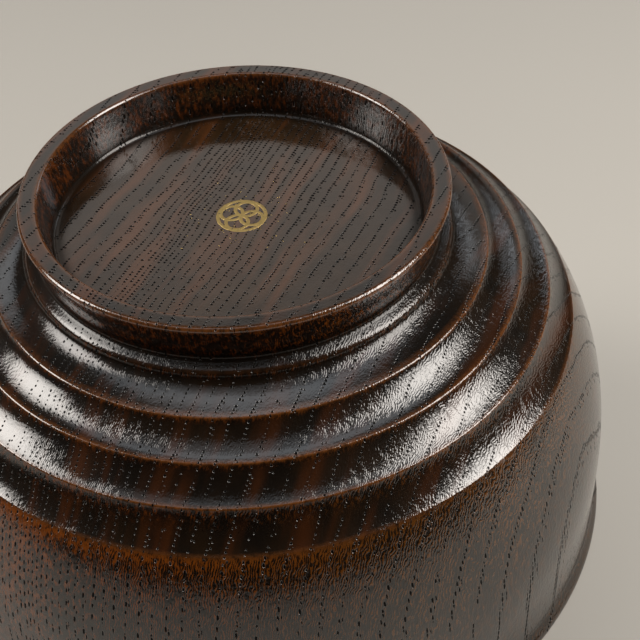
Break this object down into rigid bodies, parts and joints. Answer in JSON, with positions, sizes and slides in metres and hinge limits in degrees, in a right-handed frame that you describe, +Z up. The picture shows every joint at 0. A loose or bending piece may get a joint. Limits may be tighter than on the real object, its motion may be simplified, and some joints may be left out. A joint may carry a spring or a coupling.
{
  "type": "lidded soup bowl",
  "caption": "Deep turned wooden soup bowl with an inset lid, both with ring feet and stepped shoulders, closed and turned over to stand on the ring of the lid.",
  "frame": {"origin": "centre of the face of the lid ring, on the plane that the turned-over set stands on", "axes": "+Z up along the turning axis, from the ring of the lid to the foot of the bowl; X and Y lie in the plane of the table, and the camera of the picture looks along +Y"},
  "size_m": [0.1142, 0.1142, 0.086],
  "materials": {
    "lacquered_wood": "gloss",
    "lacquered_wood_lid": "gloss",
    "gilding": "satin"
  },
  "bodies": {
    "lid": {"lid": "lacquered_wood_lid"},
    "bowl": {"bowl": "lacquered_wood"}
  },
  "joints": [
    {"name": "bowl_lift", "type": "slide", "parent": "lid", "child": "bowl", "axis": [0, 0, 1], "range_m": [0, 0.1]}
  ]
}
